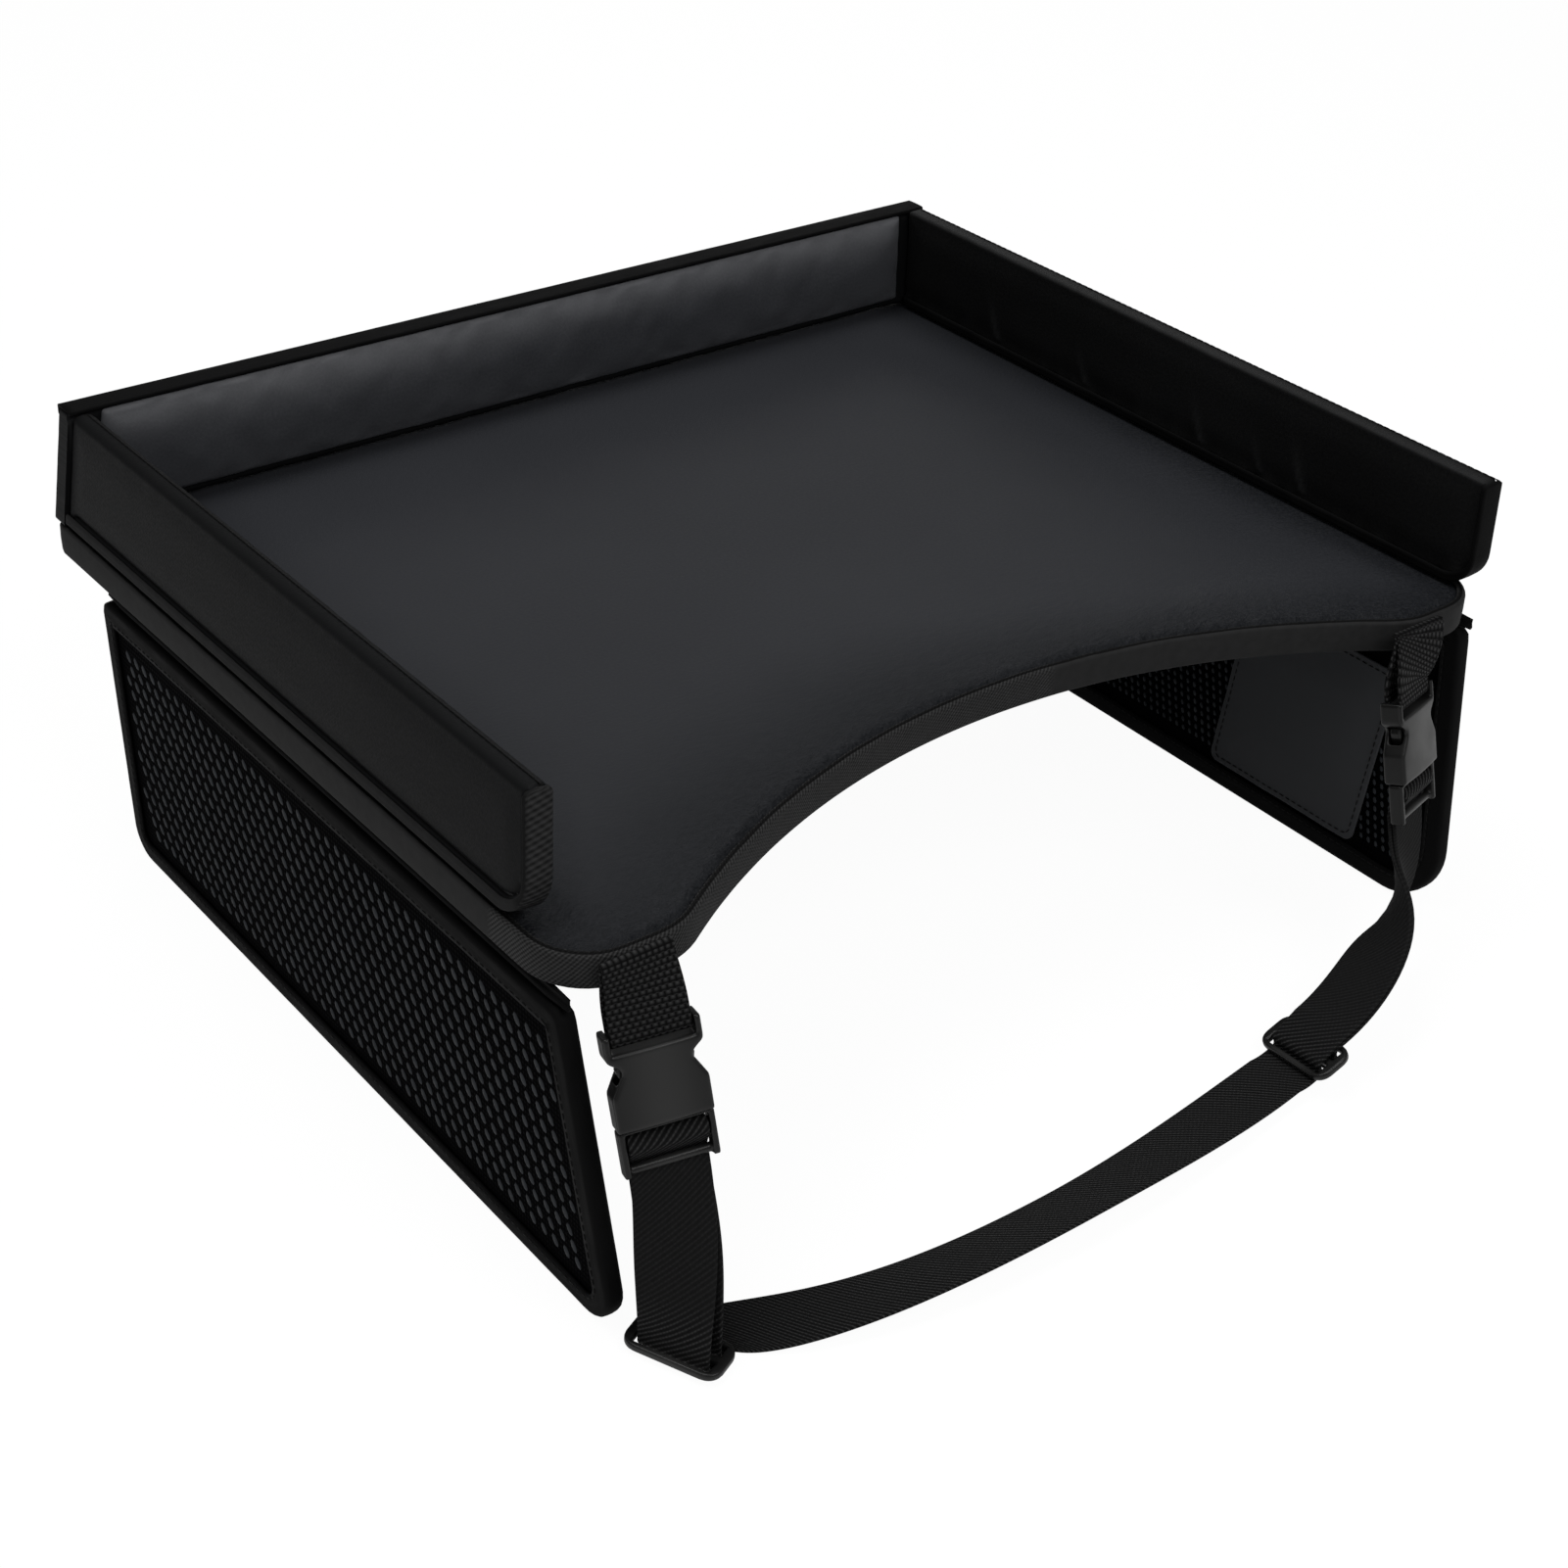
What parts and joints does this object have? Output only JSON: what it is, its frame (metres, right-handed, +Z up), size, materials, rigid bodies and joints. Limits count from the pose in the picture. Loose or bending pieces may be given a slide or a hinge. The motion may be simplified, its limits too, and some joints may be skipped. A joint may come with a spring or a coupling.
{
  "type": "car seat tray table",
  "caption": "Padded lap tray for a child's car seat with fold-out cloth walls, mesh side panels, a belly cut and a waist belt with side-release buckles",
  "frame": {"origin": "middle of the whole object's footprint, on the floor that the side panels stand on", "axes": "+X to the right across the tray as the seated child's side is viewed from the front, +Y from the belly cut to the back wall, +Z up"},
  "size_m": [0.4, 0.3986, 0.1683],
  "materials": {
    "tray_cloth": "coated charcoal cloth, faint weave",
    "wall_cloth": "black coated cloth",
    "net": "black mesh cloth",
    "tape": "ribbed black binding tape",
    "webbing": "black twill webbing",
    "plastic": "moulded black plastic, soft sheen",
    "foam": "soft grey padding",
    "board": "stiff dark sheet"
  },
  "bodies": {
    "tray": {"tray_top_cover": "tray_cloth", "tray_foam_pad": "foam", "tray_board": "board", "tray_underside_lining": "wall_cloth", "tray_edge_binding": "tape", "left_panel_hinge_tape": "tape", "right_panel_hinge_tape": "tape"},
    "left_wall": {"left_wall_binding": "tape", "left_wall_board": "board", "left_wall_cover": "wall_cloth", "left_wall_foam": "foam"},
    "right_wall": {"right_wall_binding": "tape", "right_wall_board": "board", "right_wall_cover": "wall_cloth", "right_wall_foam": "foam"},
    "back_wall": {"back_wall_binding": "tape", "back_wall_board": "board", "back_wall_cover": "wall_cloth", "back_wall_foam": "foam", "back_wall_pad": "tray_cloth"},
    "left_panel": {"left_panel_binding": "tape", "left_panel_board": "board", "left_panel_inner_net": "net", "left_panel_outer_net": "net", "left_panel_pocket": "wall_cloth"},
    "right_panel": {"right_panel_binding": "tape", "right_panel_board": "board", "right_panel_inner_net": "net", "right_panel_outer_net": "net", "right_panel_pocket": "wall_cloth"},
    "buckle_sockets": {"left_webbing_loop": "webbing", "right_webbing_loop": "webbing", "left_buckle_socket": "plastic", "right_buckle_socket": "plastic"},
    "belt": {"belt_webbing": "webbing", "left_buckle_plug": "plastic", "right_buckle_plug": "plastic", "left_tri_glide": "plastic", "right_tri_glide": "plastic"}
  },
  "joints": [
    {"name": "left_wall_fold", "type": "hinge", "parent": "tray", "child": "left_wall", "pos_m": [-0.2, 0.03581, 0.1251], "axis": [0, -1, 0], "range_deg": [0, 98]},
    {"name": "right_wall_fold", "type": "hinge", "parent": "tray", "child": "right_wall", "pos_m": [0.2, 0.03581, 0.1251], "axis": [0, 1, 0], "range_deg": [0, 91]},
    {"name": "back_wall_fold", "type": "hinge", "parent": "tray", "child": "back_wall", "pos_m": [0, 0.19931, 0.1251], "axis": [-1, 0, 0], "range_deg": [0, 90]},
    {"name": "left_panel_fold", "type": "hinge", "parent": "tray", "child": "left_panel", "pos_m": [-0.1966, 0.03581, 0.1096], "axis": [0, -1, 0], "range_deg": [-88, 84]},
    {"name": "right_panel_fold", "type": "hinge", "parent": "tray", "child": "right_panel", "pos_m": [0.1966, 0.03581, 0.1096], "axis": [0, 1, 0], "range_deg": [-90, 47]},
    {"name": "strap_swing", "type": "hinge", "parent": "tray", "child": "buckle_sockets", "pos_m": [0, -0.12959, 0.1238], "axis": [-1, 0, 0], "range_deg": [0, 95]},
    {"name": "buckle_release", "type": "slide", "parent": "buckle_sockets", "child": "belt", "axis": [0, -0.2924, -0.9563], "range_m": [0, 0.025]}
  ]
}
